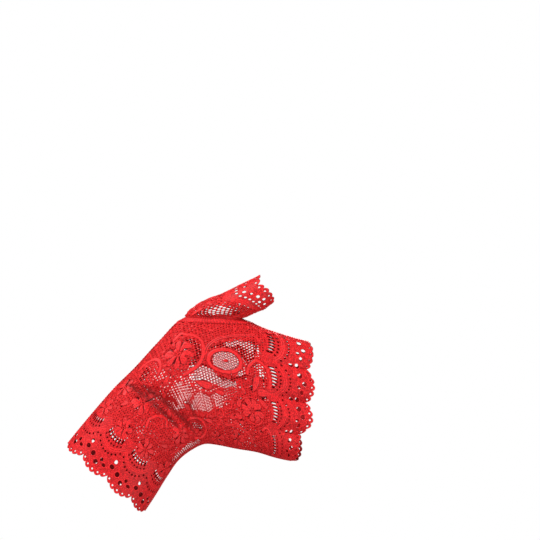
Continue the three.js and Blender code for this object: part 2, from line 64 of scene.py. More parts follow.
# The form that the lace is stretched over, as the frame's solids have it
hand_reach = 136.5
hand_rise = 65.0
wrist_bend = math.radians(49)
palm_width = 85.0
palm_depth = 30.0
section_roundness = 0.9
seam_width = 2.0
sewing_gap = 0.3
lace_wall = 1.0
thumb_starts = 0.535
thumb_ends = 0.757
thumb_reach = 35.0
thumb_rise = 20.5
thumb_turn = math.radians(56)
thumb_width = 19.0
thumb_depth = 18.0
fold_depth = 4.8
fold_breadth = 4.2
# Painted shade in the creases and between the fingers: breadth of the dark line at a crease's bottom, how
# sunk a place must be before it is shaded, the span over which that shade grows, and its share
crease_breadth = 1.2
shade_begins = 1.3
shade_span = 3.2
shade_share = 0.45
finger_hump = 4.6
finger_set_back = 9.0
fingers_begin = 0.74
thumb_root_share = 0.5
root_search = 0.12
edge_search = 0.06
chart_step = 0.8

# Sections from the hem to the finger edge: reach, rise, lean, width, depth to the back, to the palm
hand_sections = [
    (0.000, 0.000, 1.000, 0.781, 0.70, 0.70),
    (0.066, 0.189, 0.970, 0.765, 0.68, 0.68),
    (0.132, 0.378, 0.923, 0.743, 0.66, 0.66),
    (0.201, 0.558, 0.837, 0.732, 0.63, 0.64),
    (0.284, 0.717, 0.688, 0.760, 0.58, 0.64),
    (0.368, 0.869, 0.491, 0.852, 0.53, 0.68),
    (0.462, 0.994, 0.283, 1.013, 0.48, 0.72),
    (0.572, 1.011, 0.199, 1.085, 0.47, 0.68),
    (0.681, 0.957, 0.163, 1.049, 0.47, 0.60),
    (0.784, 0.869, 0.090, 0.985, 0.46, 0.52),
    (0.891, 0.805, -0.037, 0.935, 0.43, 0.46),
    (1.000, 0.760, -0.069, 0.912, 0.40, 0.42),
]
# Sections of the thumb: reach, rise, turn, width, depth
thumb_sections = [
    (0.000, 0.000, 0.000, 2.190, 1.35),
    (0.075, 0.200, 0.140, 2.000, 1.27),
    (0.233, 0.356, 0.255, 1.730, 1.20),
    (0.477, 0.517, 0.430, 1.390, 1.12),
    (0.747, 0.737, 0.790, 1.150, 1.05),
    (1.000, 1.000, 1.000, 1.000, 1.00),
]
# Creases: on the palm or not, across, along, to across, to along, depth, breadth
folds = [
    (0, 0.09, 0.310, 0.80, 0.385, 1.00, 1.0),
    (0, 0.21, 0.345, 0.88, 0.442, 1.00, 1.0),
    (0, 0.15, 0.328, 0.84, 0.412, -0.70, 0.9),
    (0, 0.55, 0.470, 0.92, 0.480, 0.60, 1.0),
    (1, 0.20, 0.330, 0.85, 0.390, 0.80, 1.1),
    (1, 0.30, 0.400, 0.90, 0.450, 0.80, 1.0),
    (1, 0.25, 0.800, 0.75, 0.770, 0.60, 1.2),
]
# Mounds: on the palm or not, across, along, height, breadth
mounds = [
    (1, 0.24, 0.540, 0.12, 0.24),
    (1, 0.78, 0.540, 0.10, 0.22),
    (1, 0.55, 0.680, -0.10, 0.20),
    (0, 0.14, 0.600, -0.07, 0.12),
]
# Fingers: across, set back on the back and on the palm, height of the lace on the finger
fingers = [
    (0.125, 0.28, 0.25, 0.85),
    (0.375, 0.05, 0.20, 1.00),
    (0.625, 0.05, 0.30, 0.95),
    (0.875, 0.95, 0.70, 0.80),
]


def between(table, share):
    """A smooth value between the evenly spaced rows of a table of sections."""
    last = len(table) - 1
    at = min(max(share, 0.0), 1.0) * last
    i = min(int(at), last - 1)
    f = at - i
    b, c = table[i], table[i + 1]
    a = [2 * p - q for p, q in zip(b, c)] if i == 0 else table[i - 1]
    d = [2 * q - p for p, q in zip(b, c)] if i == last - 1 else table[i + 2]
    return [
        q + 0.5 * ((r - p) * f + (2 * p - 5 * q + 4 * r - s) * f * f + (3 * q - p - 3 * r + s) * f ** 3)
        for p, q, r, s in zip(a, b, c, d)
    ]


def smooth(share):
    s = min(max(share, 0.0), 1.0)
    return s * s * (3 - 2 * s)


def rounded(value):
    return math.copysign(abs(value) ** section_roundness, value)


class Section:
    """One slice of the hand: its middle, its way up to the thumb side, and its half sizes."""

    def __init__(self, along):
        reach, rise, lean, width, back, palm = between(hand_sections, along)
        lean *= wrist_bend
        self.middle = Vector((reach * hand_reach, 0, rise * hand_rise))
        self.up = Vector((-math.sin(lean), 0, math.cos(lean)))
        self.forward = Vector((math.cos(lean), 0, math.sin(lean)))
        self.half_width = width * palm_width / 2
        self.depths = (-back * palm_depth, palm * palm_depth)

    def at(self, turn, palm):
        point = self.middle + self.up * (rounded(math.cos(turn)) * self.half_width)
        point.y = rounded(math.sin(turn)) * self.depths[palm]
        return point

    def girth(self, palm):
        """How far round the slice each even step of the turn has come."""
        run = [0.0]
        before = self.at(0, palm)
        for i in range(1, girth_steps + 1):
            point = self.at(math.pi * i / girth_steps, palm)
            run.append(run[-1] + (point - before).length)
            before = point
        return run


girth_steps = 48
seam_room = seam_width / 2 + sewing_gap
panel_to_seam = seam_room + lace_wall / 2


def turn_at(run, across):
    edge = seam_room / run[-1]
    goal = (edge + across * (1 - 2 * edge)) * run[-1]
    i = 1
    while i < girth_steps and run[i] < goal:
        i += 1
    return math.pi * (i - 1 + (goal - run[i - 1]) / (run[i] - run[i - 1])) / girth_steps


def across_at(run, turn):
    step = min(max(turn * girth_steps / math.pi, 0), girth_steps - 1e-6)
    i = int(step)
    edge = seam_room / run[-1]
    return ((run[i] + (step - i) * (run[i + 1] - run[i])) / run[-1] - edge) / (1 - 2 * edge)


def panel_size():
    steps = [i / 24 for i in range(25)]
    middles = [Section(s).middle for s in steps]
    length = sum((b - a).length for a, b in zip(middles, middles[1:]))
    width = sum(Section(s).girth(0)[-1] for s in steps) / len(steps)
    return length, width


panel_length, panel_width = panel_size()


def finger_values(across):
    if across <= fingers[0][0]:
        return fingers[0]
    for a, b in zip(fingers, fingers[1:]):
        if across < b[0]:
            f = smooth((across - a[0]) / (b[0] - a[0]))
            return [p + (q - p) * f for p, q in zip(a, b)]
    return fingers[-1]


def along_fold(x, y, fold):
    """How far along a crease a place lies, as a share of its run, and how far beside it."""
    start = Vector((fold[2] * panel_length, fold[1] * panel_width))
    run = Vector((fold[4] * panel_length, fold[3] * panel_width)) - start
    offset = Vector((x, y)) - start
    return offset.dot(run) / run.length_squared, abs(offset.x * run.y - offset.y * run.x) / run.length


def crease_line(x, y, palm):
    """How near a place is to the sharp bottom of a crease, from 0 to 1, which sets a dark line of painted
    shade there.
    """
    line = 0.0
    for fold in folds:
        if fold[0] == palm and fold[5] > 0:
            share, away = along_fold(x, y, fold)
            fade = smooth(share / 0.06) * smooth((1 - share) / 0.2)
            line = max(line, fold[5] * fade * math.exp(-(away / crease_breadth) ** 2))
    return line


def stand_out(along, across, palm):
    """How far the lace stands out from the plain form: creases, mounds and fingers."""
    x, y = along * panel_length, across * panel_width
    out = 0.0
    for fold in folds:
        if fold[0] == palm:
            share, away = along_fold(x, y, fold)
            fade = smooth(share / 0.25) * smooth((1 - share) / 0.25)
            out -= fold_depth * fold[5] * fade * math.exp(-(away / (fold[6] * fold_breadth)) ** 2)
    for side, a0, l0, height, breadth in mounds:
        if side == palm:
            far = ((x - l0 * panel_length) ** 2 + (y - a0 * panel_width) ** 2) / (breadth * palm_width) ** 2
            out += height * palm_depth * math.exp(-far)
    on_finger = abs(math.sin(len(fingers) * math.pi * across)) ** 0.7
    reach = smooth((along - fingers_begin) / (1 - fingers_begin))
    return out + finger_hump * finger_values(across)[3] * (on_finger - 0.5) * reach


def thumb_side(along):
    return Section(along).at(0, 0)


seam_start = thumb_side(thumb_starts)
seam_end = thumb_side(thumb_ends)
seam_line = (seam_end - seam_start).normalized()
seam_up = Vector((-seam_line.z, 0, seam_line.x))


def over_seam(point):
    return (point - seam_start).dot(seam_up)


def share_cut_by_thumb(section, run):
    """How much of the panel's width the thumb's opening takes from its thumb side."""
    width = (-panel_to_seam - over_seam(section.middle)) / (section.half_width * section.up.dot(seam_up))
    if width >= 1:
        return 0.0
    turn = math.acos(max(width, 0.0) ** (1 / section_roundness))
    return max(across_at(run, turn), 0.0)


class Worn:
    """Where each place of a flat piece of lace lies when it is worn, from a fine chart of it."""

    def __init__(self, length, width, point, inside, painted_hollow_shade=None, closed=False):
        self.length, self.width, self.closed = length, width, closed
        self.painted_hollow_shade = painted_hollow_shade
        self.nx, self.ny = round(length / chart_step), round(width / chart_step)
        self.points = [
            [point(i / self.nx, j / self.ny) for j in range(self.ny + 1)] for i in range(self.nx + 1)
        ]
        self.outs = []
        votes = 0
        for i in range(self.nx + 1):
            row = []
            for j in range(self.ny + 1):
                du = self.points[min(i + 1, self.nx)][j] - self.points[max(i - 1, 0)][j]
                if closed:
                    dv = self.points[i][(j + 1) % self.ny] - self.points[i][(j - 1) % self.ny]
                else:
                    dv = self.points[i][min(j + 1, self.ny)] - self.points[i][max(j - 1, 0)]
                row.append(du.cross(dv).normalized())
                votes += 1 if row[-1].dot(self.points[i][j] - inside(i / self.nx)) > 0 else -1
            self.outs.append(row)
        self.turned = votes < 0
        if self.turned:
            self.outs = [[-out for out in row] for row in self.outs]

    def at(self, x, y, lift):
        if self.closed:
            y %= self.width
        u = min(max(x / self.length, 0.0), 1.0) * self.nx
        v = min(max(y / self.width, 0.0), 1.0) * self.ny
        i, j = min(int(u), self.nx - 1), min(int(v), self.ny - 1)
        f, g = u - i, v - j
        weights = ((1 - f) * (1 - g), (1 - f) * g, f * (1 - g), f * g)
        corners = ((i, j), (i, j + 1), (i + 1, j), (i + 1, j + 1))
        place = Vector((0, 0, 0))
        for w, (a, b) in zip(weights, corners):
            place += w * (self.points[a][b] + self.outs[a][b] * lift)
        return place * MM

    def lay(self, bm):
        """Bends a flat bmesh, drawn along X and across Y with its height in Z, onto the hand."""
        for vert in bm.verts:
            vert.co = self.at(*vert.co)
        if self.turned:
            bmesh.ops.reverse_faces(bm, faces=bm.faces)


def worn_panel(palm):
    slices = {}

    def point(u, across):
        x = u * panel_length
        set_back = finger_values(across)[1 + palm] * finger_set_back
        reach = smooth((u - fingers_begin) / (1 - fingers_begin))
        along = (x - set_back * reach) / panel_length
        name = round(along * 2000)
        if name not in slices:
            section = Section(name / 2000)
            run = section.girth(palm)
            slices[name] = (section, run, share_cut_by_thumb(section, run))
        section, run, cut = slices[name]
        share = across + cut * (1 - across) ** 2
        turn = turn_at(run, share)
        place = section.at(turn, palm)
        out = stand_out(along, share, palm) * math.sin(turn)
        place.y += out if palm else -out
        return place

    def painted_hollow_shade(x, y):
        """How much painted shade a place gets for lying deep in a crease or between two fingers, from 0 to
        1.
        """
        out = stand_out(x / panel_length, y / panel_width, palm)
        sunk = min(max((-out - shade_begins) / shade_span, 0.0), 1.0)
        return min(shade_share * sunk + crease_line(x, y, palm), 1.0)

    return Worn(panel_length, panel_width, point, lambda u: Section(u).middle, painted_hollow_shade)


def solve(value, low, high, goal):
    rising = value(high) > value(low)
    for _ in range(34):
        middle = (low + high) / 2
        if (value(middle) < goal) == rising:
            low = middle
        else:
            high = middle
    return (low + high) / 2


def thumb_root(side, palm):
    """The loop where the tube leaves its seam, on the hand's form."""
    height = seam_room
    low, high = thumb_starts - root_search, thumb_ends + root_search
    top = (thumb_starts + thumb_ends) / 2
    first = solve(lambda s: over_seam(thumb_side(s)), low, top, height)
    last = solve(lambda s: over_seam(thumb_side(s)), top, high, height)
    at = thumb_side(first).lerp(thumb_side(last), (1 - math.cos(side)) / 2)
    along = solve(lambda s: (at - Section(s).middle).dot(Section(s).forward), low, high, 0.0)
    section = Section(along)
    width = (at - section.middle).dot(section.up) / section.half_width
    return section.at(math.acos(min(width, 1.0) ** (1 / section_roundness)), palm)


def thumb_section(out):
    reach, rise, lean, width, depth = between(thumb_sections, out)
    lean *= thumb_turn
    middle = seam_start.lerp(seam_end, 0.5) + Vector((reach * thumb_reach, 0, rise * thumb_rise))
    line = seam_line * math.cos(lean) - seam_up * math.sin(lean)
    return middle, line, width * thumb_width / 2, depth * thumb_depth / 2


roots = {}


def thumb_point(out, around):
    """A place on the thumb's tube: around 0 and 1 are at the crotch, 0.5 at the outer side."""
    turn = (around * 2 * math.pi + math.pi) % (2 * math.pi)
    palm = turn > math.pi
    side = 2 * math.pi - turn if palm else turn
    middle, line, half_width, half_depth = thumb_section(out)
    point = middle - line * (math.cos(side) * half_width)
    point.y = math.sin(side) * half_depth * (1 if palm else -1)
    name = (round(side, 6), palm)
    if name not in roots:
        roots[name] = thumb_root(side, palm)
    return roots[name].lerp(point, smooth(out / thumb_root_share))


def thumb_size():
    loop = [thumb_point(0.7, i / 40) for i in range(41)]
    width = sum((b - a).length for a, b in zip(loop, loop[1:]))
    return (thumb_point(1, 0.25) - thumb_point(0, 0.25)).length, width


thumb_length, thumb_girth = thumb_size()

worn_back = worn_panel(0)
worn_palm = worn_panel(1)
worn_thumb = Worn(thumb_length, thumb_girth, thumb_point, lambda u: thumb_section(u)[0], closed=True)

# The lace is drawn flat, X along the hand and Y across it from the thumb side, then laid.
scallop_count = 4
net_strand = 0.52
dense_strand = 1.14
strand_height = 0.3
strand_drift = 0.28
cell_long = 1.86
cell_wide = 1.72
tulle_long = 1.0
tulle_wide = 0.95
tulle_strand = 0.43
tulle_height = 0.18
thread_height = 0.16
cloth_height = 0.28
picot_depth = 1.5
picots = 5
arch_band = 3.0
filler_gap_squared = 4.4
hole_sides = 10
plate_strips = (2.4, 1.9)
# Heights over which the relief runs from 0 to 1; the threads' material paints low relief darker, as painted
# shade
relief_low = -0.04
relief_span = 0.36
uv_scale = 0.1
tile = 3.0
rim_angle = math.radians(25)

# Profiles across a strip of lace, as heights over the net; their low edges also get painted shade through
# the relief
satin_band = (-0.16, 0.03, 0.34, 0.34, 0.26, 0.34, 0.34, 0.03, -0.16)
double_rib = (-0.16, 0.04, 0.38, 0.32, -0.10, 0.32, 0.38, 0.04, -0.16)
round_thread = (-0.14, 0.40, 0.40, -0.14)
petal_cloth = (-0.16, 0.03, 0.40, 0.16, 0.28, 0.16, 0.40, 0.03, -0.16)
inner_petal = (0.0, 0.10, 0.54, 0.36, 0.54, 0.10, 0.0)
small_cloth = (-0.16, 0.42, 0.10, 0.42, -0.16)


def new_object(name, bm):
    mesh = bpy.data.meshes.new(name)
    bm.to_mesh(mesh)
    bm.free()
    made = bpy.data.objects.new(name, mesh)
    bpy.context.collection.objects.link(made)
    return made


def evaluated_bmesh(source):
    """The mesh of an object with its modifiers, as a bmesh, and the object is removed."""
    depsgraph = bpy.context.evaluated_depsgraph_get()
    final = source.evaluated_get(depsgraph)
    bm = bmesh.new()
    bm.from_mesh(final.to_mesh())
    final.to_mesh_clear()
    bpy.data.objects.remove(source)
    return bm


def add_part(whole, part):
    """Puts the bmesh of a part into that of the whole."""
    mesh = bpy.data.meshes.new("part")
    part.to_mesh(mesh)
    part.free()
    whole.from_mesh(mesh)
    bpy.data.meshes.remove(mesh)


def strip(bm, path, half_widths, heights, bury_ends=False):
    """A strip along a path of flat places, from one side to the other at the given heights."""
    rows, columns = len(path) - 1, len(heights) - 1
    made = bmesh.ops.create_grid(bm, x_segments=rows, y_segments=columns, size=0.5)
    for vert in made["verts"]:
        i = round((vert.co.x + 0.5) * rows)
        j = round((vert.co.y + 0.5) * columns)
        ahead = path[min(i + 1, rows)]
        behind = path[max(i - 1, 0)]
        if path[0] == path[-1] and i in (0, rows):
            ahead, behind = path[1], path[-2]
        way = (ahead - behind).normalized()
        side = Vector((-way.y, way.x)) * half_widths[i] * (2 * j / columns - 1)
        height = heights[j]
        if bury_ends and i in (0, rows):
            height = min(height, heights[0])
        vert.co = (*(path[i] + side), height)


def smooth_path(points, step, closed=False):
    """Even, close places on a smooth line through a few chosen ones."""
    points = [Vector(p) for p in points]
    count = len(points)
    fine = []
    spans = count if closed else count - 1
    for i in range(spans):
        b, c = points[i], points[(i + 1) % count]
        a = points[i - 1] if closed or i else 2 * b - c
        d = points[(i + 2) % count] if closed or i + 2 < count else 2 * c - b
        parts = max(round((c - b).length / step), 1)
        for k in range(parts):
            f = k / parts
            curve = (2 * a - 5 * b + 4 * c - d) * f * f + (3 * b - a - 3 * c + d) * f ** 3
            fine.append(b + 0.5 * ((c - a) * f + curve))
    fine.append(fine[0].copy() if closed else points[-1])
    return fine


def ellipse(x, y, half_long, half_wide, turn_degrees, count):
    turn = math.radians(turn_degrees)
    points = []
    for i in range(count):
        a = 2 * math.pi * i / count
        u, v = math.cos(a) * half_long, math.sin(a) * half_wide
        points.append((x + u * math.cos(turn) - v * math.sin(turn),
                       y + u * math.sin(turn) + v * math.cos(turn)))
    return points


def in_ellipse(x, y, region, margin=0.0):
    cx, cy, half_long, half_wide, turn_degrees = region
    turn = math.radians(turn_degrees)
    dx, dy = x - cx, y - cy
    u = dx * math.cos(turn) + dy * math.sin(turn)
    v = -dx * math.sin(turn) + dy * math.cos(turn)
    return (u / (half_long + margin)) ** 2 + (v / (half_wide + margin)) ** 2 < 1


def in_outline(x, y, points):
    inside = False
    for (ax, ay), (bx, by) in zip(points, points[1:] + points[:1]):
        if (ay > y) != (by > y) and x < ax + (y - ay) * (bx - ax) / (by - ay):
            inside = not inside
    return inside


def hold_in_width(bm, width):
    for vert in bm.verts:
        vert.co.y = min(max(vert.co.y, 0.0), width)


class Lace:
    """The flat drawing of one piece of lace: what lies on its net, and where the net shows."""

    def __init__(self, length, width, closed_round=False):
        self.length, self.width, self.closed_round = length, width, closed_round
        self.raised = bmesh.new()
        self.covers = {}
        self.holes = []
        self.open_net = []
        self.outlines = []
        self.tulle = []

    def draw(self, ovals, windows, bands, flowers, petals):
        """Adds what the tables of a drawing hold."""
        for x, y, half_long, half_wide, turn, places, breadth, heights in ovals:
            rim = ellipse(x, y, half_long, half_wide, turn, places)
            self.band(rim, breadth, heights, closed=True)
        for reach, points in windows:
            self.window(points, reach)
        for breadth, heights, points in bands:
            self.band(points, breadth, heights)
        for flower in flowers:
            self.flower(*flower)
        for petal in petals:
            self.petal(*petal)

    def window(self, points, reach):
        """An open part of the net along a line of places."""
        for x, y in smooth_path(points, 1.0):
            self.open_net.append((x, y, reach, reach, 0))

    def is_open(self, x, y, margin=0.0):
        if any(in_ellipse(x, y, region, margin) for region in self.open_net):
            return True
        return any(in_outline(x, y, points) for points in self.outlines)

    def is_sheer(self, x, y, margin=0.0):
        return any(in_ellipse(x, y, region, margin) for region in self.tulle)

    def band(self, points, width, heights=satin_band, closed=False, step=1.1):
        path = smooth_path(points, step, closed)
        strip(self.raised, path, [width / 2] * len(path), heights, bury_ends=not closed)
        for place in path:
            self.cover((place.x, place.y, width / 2, width / 2, 0))

    def petal(self, x, y, length, width, turn_degrees, curve=0.0, heights=petal_cloth, rows=8,
              hides_net=True):
        """A petal with its middle at x, y, round at its outer end and narrow at its root."""
        turn = math.radians(turn_degrees)
        way = Vector((math.cos(turn), math.sin(turn)))
        side = Vector((-math.sin(turn), math.cos(turn)))
        path, halves = [], []
        for i in range(rows + 1):
            u = i / rows
            path.append(Vector((x, y)) + way * (u - 0.5) * length + side * curve * length * 4 * u * (1 - u))
            halves.append(width / 2 * max(math.sin(math.pi * u ** 1.6) ** 0.62 if u < 1 else 0, 0.12))
        strip(self.raised, path, halves, heights, bury_ends=True)
        if hides_net:
            self.cover((x, y, length / 2, width / 2, turn_degrees))

    def flower(self, x, y, radius, count, start, width):
        """Petals of uneven size in two rounds, with a ring in the middle."""
        draw = random.Random(round(x * 10 + y))
        for i in range(count):
            turn = start + 360 * i / count + draw.uniform(-9, 9)
            a = math.radians(turn)
            grown = draw.uniform(0.86, 1.1)
            far = radius * 0.58 * grown
            self.petal(x + math.cos(a) * far, y + math.sin(a) * far, radius * 0.86 * grown, width * grown,
                       turn, curve=draw.uniform(-0.12, 0.12))
        for i in range(count - 2):
            turn = start + 20 + 360 * i / (count - 2) + draw.uniform(-12, 12)
            a = math.radians(turn)
            far = radius * 0.33
            self.petal(x + math.cos(a) * far, y + math.sin(a) * far, radius * 0.46, width * 0.56, turn,
                       heights=inner_petal, rows=5)
        ring = radius * 0.12
        self.band(ellipse(x, y, ring, ring, 0, 6), radius * 0.13, inner_petal, closed=True, step=0.8)

    def ring(self, x, y, radius, width):
        self.band(ellipse(x, y, radius, radius, 0, 8), width, round_thread, closed=True, step=1.4)

    def cover(self, region):
        """Notes an ellipse of worked lace under each tile of the drawing that it may reach."""
        reach = max(region[2], region[3]) + 1.2
        for i in range(int((region[0] - reach) // tile), int((region[0] + reach) // tile) + 1):
            for j in range(int((region[1] - reach) // tile), int((region[1] + reach) // tile) + 1):
                self.covers.setdefault((i, j), []).append(region)

    def covered(self, x, y, margin=0.0):
        regions = self.covers.get((int(x // tile), int(y // tile)), [])
        return any(min(r[2], r[3]) + margin > 0 and in_ellipse(x, y, r, margin) for r in regions)

    def raised_work(self):
        """The mesh of all that is drawn on the net, with the thickness of its threads."""
        bm = self.raised
        if not self.closed_round:
            hold_in_width(bm, self.width)
        bmesh.ops.remove_doubles(bm, verts=bm.verts, dist=0.004)
        thicken(bm, thread_height)
        return bm


# Eyelets of one scallop: across from its middle in parts of the pitch, inland, half sizes each way
wide_eyelets = [
    (-0.27, 9.9, 1.75, 1.75),
    (-0.05, 6.9, 1.70, 1.65),
    (0.07, 10.5, 1.25, 1.35),
    (0.22, 8.5, 1.75, 1.15),
    (0.46, 11.4, 1.80, 1.45),
    (0.48, 15.4, 1.20, 1.50),
]
thumb_eyelets = [
    (-0.34, 8.7, 0.90, 0.90),
    (-0.17, 7.2, 1.25, 1.20),
    (0.00, 8.7, 1.15, 1.00),
    (0.00, 5.6, 1.15, 1.10),
    (0.17, 7.2, 1.20, 1.10),
    (0.34, 8.4, 0.90, 0.90),
    (0.50, 10.2, 1.10, 1.00),
]


# Small holes of a border: their half size, and how far they lie from the edge or the arch band
picot_hole = 0.72
picot_hole_inland = 2.2
dot_hole = 0.78
dots_each_side = 4
dot_spacing = 0.108
dots_before_arch = 3.2
dots_past_arch = 2.8
long_cells_each_side = 3
long_cell_spacing = 0.092
long_cells_past_arch = 4.3


class Border:
    """A scalloped border of worked cloth, drawn inland from the hem or from the finger edge."""

    def __init__(self, lace, count, at_hem, scallop=5.0, arch_bottom=19.2, arch_rise=7.2, inland=29.5,
                 cusp=4.5, eyelets=wide_eyelets, long_cells=2.35):
        self.lace, self.count, self.at_hem = lace, count, at_hem
        self.pitch = lace.width / count
        self.scallop, self.arch_bottom, self.arch_rise = scallop, arch_bottom, arch_rise
        self.inland, self.cusp = inland, cusp
        self.eyelets, self.long_cells = eyelets, long_cells

    def place(self, y, inland):
        return (inland if self.at_hem else self.lace.length - inland, y)

    def from_edge(self, x):
        return x if self.at_hem else self.lace.length - x

    def arch(self, y):
        """How far inland the arch band lies over a scallop: low at its middle, high between two."""
        return self.arch_bottom + self.arch_rise * abs(2 * ((y / self.pitch) % 1) - 1) ** 2.4

    def cloth_end(self, y):
        return self.inland + self.cusp * (2 * ((y / self.pitch) % 1) - 1) ** 2

    def edge(self, y):
        """The scalloped edge with its picots: the drop from the tips."""
        share = y / self.pitch
        arch = abs(math.sin(math.pi * share)) ** 0.6
        picot = abs(math.sin(math.pi * share * picots)) ** 0.7
        return self.scallop * (1 - arch) + picot_depth * (1 - picot)

    def hides(self, x, y):
        return self.from_edge(x) < self.cloth_end(y) - 1.0

    def past_edge(self, x, y):
        return self.from_edge(x) < self.edge(y) + 1.6

    def holes(self):
        """Round and long holes: across, inland, half across, half inland."""
        pitch = self.pitch
        holes = []
        for k in range(self.count):
            middle = (k + 0.5) * pitch
            for across, inland, half_y, half_x in self.eyelets:
                if k < self.count - 1 or across < 0.4:
                    holes.append((middle + across * pitch, inland, half_y, half_x))
            for i in range(picots):
                y = k * pitch + (i + 0.5) * pitch / picots
                holes.append((y, self.edge(y) + picot_hole_inland, picot_hole, picot_hole))
            for i in range(-dots_each_side, dots_each_side + 1):
                y = middle + i * pitch * dot_spacing
                holes.append((y, self.arch(y) - dots_before_arch, dot_hole, dot_hole))
                if abs(i) < dots_each_side:
                    holes.append((y, self.arch(y) + dots_past_arch, 0.70, 0.72))
            for i in range(-long_cells_each_side, long_cells_each_side + 1):
                y = middle + i * pitch * long_cell_spacing
                if self.long_cells:
                    inland = self.arch(y) + long_cells_past_arch + self.long_cells
                    holes.append((y, inland, dot_hole, self.long_cells))
        return holes

    def plate(self):
        """The cloth, cut out of one flat curve with its holes, drawn inland along X."""
        width = self.lace.width
        outline = []
        steps = self.count * picots * 8
        for i in range(steps + 1):
            y = width * i / steps
            outline.append((self.edge(y), y))
        steps = self.count * 10
        for i in range(steps + 1):
            y = width * (1 - i / steps)
            outline.append((self.cloth_end(y), y))
        loops = [outline]
        turns = [2 * math.pi * i / hole_sides for i in range(hole_sides)]
        for y, inland, half_y, half_x in self.holes():
            loops.append([(inland + half_x * math.sin(a), y + half_y * math.cos(a)) for a in turns])
        curve = bpy.data.curves.new("border", "CURVE")
        curve.dimensions = "2D"
        curve.fill_mode = "BOTH"
        curve.bevel_depth = 0.09
        curve.bevel_resolution = 0
        curve.extrude = cloth_height / 2
        for loop in loops:
            spline = curve.splines.new("POLY")
            spline.points.add(len(loop) - 1)
            for point, (x, y) in zip(spline.points, loop):
                point.co = (x, y, 0, 1)
            spline.use_cyclic_u = True
        flat = bpy.data.objects.new("border", curve)
        bpy.context.collection.objects.link(flat)
        bm = evaluated_bmesh(flat)
        bmesh.ops.remove_doubles(bm, verts=bm.verts, dist=0.001)
        for axis, far, step in zip((0, 1), (self.inland + self.cusp, width), plate_strips):
            way = Vector((1 - axis, axis, 0))
            for i in range(1, int(far / step) + 1):
                everything = bm.verts[:] + bm.edges[:] + bm.faces[:]
                bmesh.ops.bisect_plane(bm, geom=everything, plane_co=way * (i * step), plane_no=way)
        return bm

    def add_to(self, cloth):
        """The border's cloth, and the ribs and threads that lie on it."""
        plate = self.plate()
        if not self.at_hem:
            bmesh.ops.scale(plate, vec=(-1, 1, 1), verts=plate.verts)
            bmesh.ops.reverse_faces(plate, faces=plate.faces)
            bmesh.ops.translate(plate, vec=(self.lace.length, 0, 0), verts=plate.verts)
        add_part(cloth, plate)
        lace, pitch = self.lace, self.pitch
        for k in range(self.count):
            arch = [self.place((k + t) * pitch, self.arch((k + t) * pitch))
                    for t in (0.004, 0.08, 0.2, 0.35, 0.5, 0.65, 0.8, 0.92, 0.996)]
            lace.band(arch, arch_band, double_rib)
            along_edge = [pitch * (k + i / 40) for i in range(41)]
            edge = [self.place(y, self.edge(y) + 0.4) for y in along_edge]
            lace.band(edge, 0.8, round_thread, step=0.8)
        for y, inland, half_y, half_x in self.holes():
            x = self.place(y, inland)[0]
            lace.holes.append((x, y, half_x, half_y, 0))
            if half_x > 0.9 and half_y > 0.9:
                rim = ellipse(x, y, half_x + 0.3, half_y + 0.3, 0, 8)
                lace.band(rim, 0.8, round_thread, closed=True, step=1.0)


def cell_pair(long, wide):
    """Two six-sided cells side by side, which a net repeats."""
    unit = bmesh.new()
    upright = Matrix.Rotation(math.pi / 2, 3, "Z")
    for x, y in ((0, 0), (1.5, math.sqrt(3) / 2)):
        made = bmesh.ops.create_circle(unit, cap_ends=True, segments=6, radius=1)
        bmesh.ops.rotate(unit, verts=made["verts"], cent=(0, 0, 0), matrix=upright)
        bmesh.ops.translate(unit, verts=made["verts"], vec=(x, y, 0))
    bmesh.ops.scale(unit, vec=(long / 1.5, wide / math.sqrt(3), 1), verts=unit.verts)
    return unit


def cells_from(unit, along_count, across_count, along_step, across_step):
    source = new_object("cells", unit)
    for count, offset in ((across_count, (0, across_step, 0)), (along_count, (along_step, 0, 0))):
        array = source.modifiers.new("Array", "ARRAY")
        array.count = count + 1
        array.use_relative_offset = False
        array.use_constant_offset = True
        array.constant_offset_displace = offset
        array.use_merge_vertices = True
        array.merge_threshold = 0.02
    return evaluated_bmesh(source)


def net(lace):
    """The six-sided net of a whole piece of lace, all its cells filled."""
    across_count = round(lace.width / cell_wide)
    along_count = math.ceil(lace.length / cell_long / 2)
    wide, long = lace.width / across_count, lace.length / along_count / 2
    return cells_from(cell_pair(long, wide), along_count, across_count, long * 2, wide)


def open_cells(bm, strand, faces):
    bmesh.ops.inset_individual(bm, faces=faces, thickness=strand / 2, use_even_offset=True)
    bmesh.ops.delete(bm, geom=faces, context="FACES")


def thicken(bm, thickness):
    """Gives flat lace its thickness, downwards from the surface that was drawn."""
    made = bmesh.ops.extrude_face_region(bm, geom=bm.faces[:])
    upper = [part for part in made["geom"] if isinstance(part, bmesh.types.BMVert)]
    bmesh.ops.translate(bm, verts=upper, vec=(0, 0, thickness))
    bmesh.ops.translate(bm, verts=bm.verts, vec=(0, 0, -thickness))


def coarse_net(lace, borders, edge_room=0.3):
    """The net under the worked parts, open or dense, without what they hide."""
    bm = net(lace)
    opened, dense, gone = [], [], []
    for face in bm.faces:
        x, y, _ = face.calc_center_median()
        off = x < 0 or x > lace.length or y < -edge_room or y > lace.width + edge_room
        if off or any(b.hides(x, y) for b in borders) or lace.covered(x, y, -0.9) or lace.is_sheer(x, y):
            gone.append(face)
        elif lace.is_open(x, y):
            opened.append(face)
        else:
            dense.append(face)
    bmesh.ops.delete(bm, geom=gone, context="FACES")
    for vert in bm.verts:
        drift = noise.noise_vector(vert.co * 0.45) * strand_drift
        vert.co.x += drift.x
        vert.co.y += drift.y
    open_cells(bm, net_strand, opened)
    open_cells(bm, dense_strand, dense)
    hold_in_width(bm, lace.width)
    thicken(bm, strand_height)
    return bm


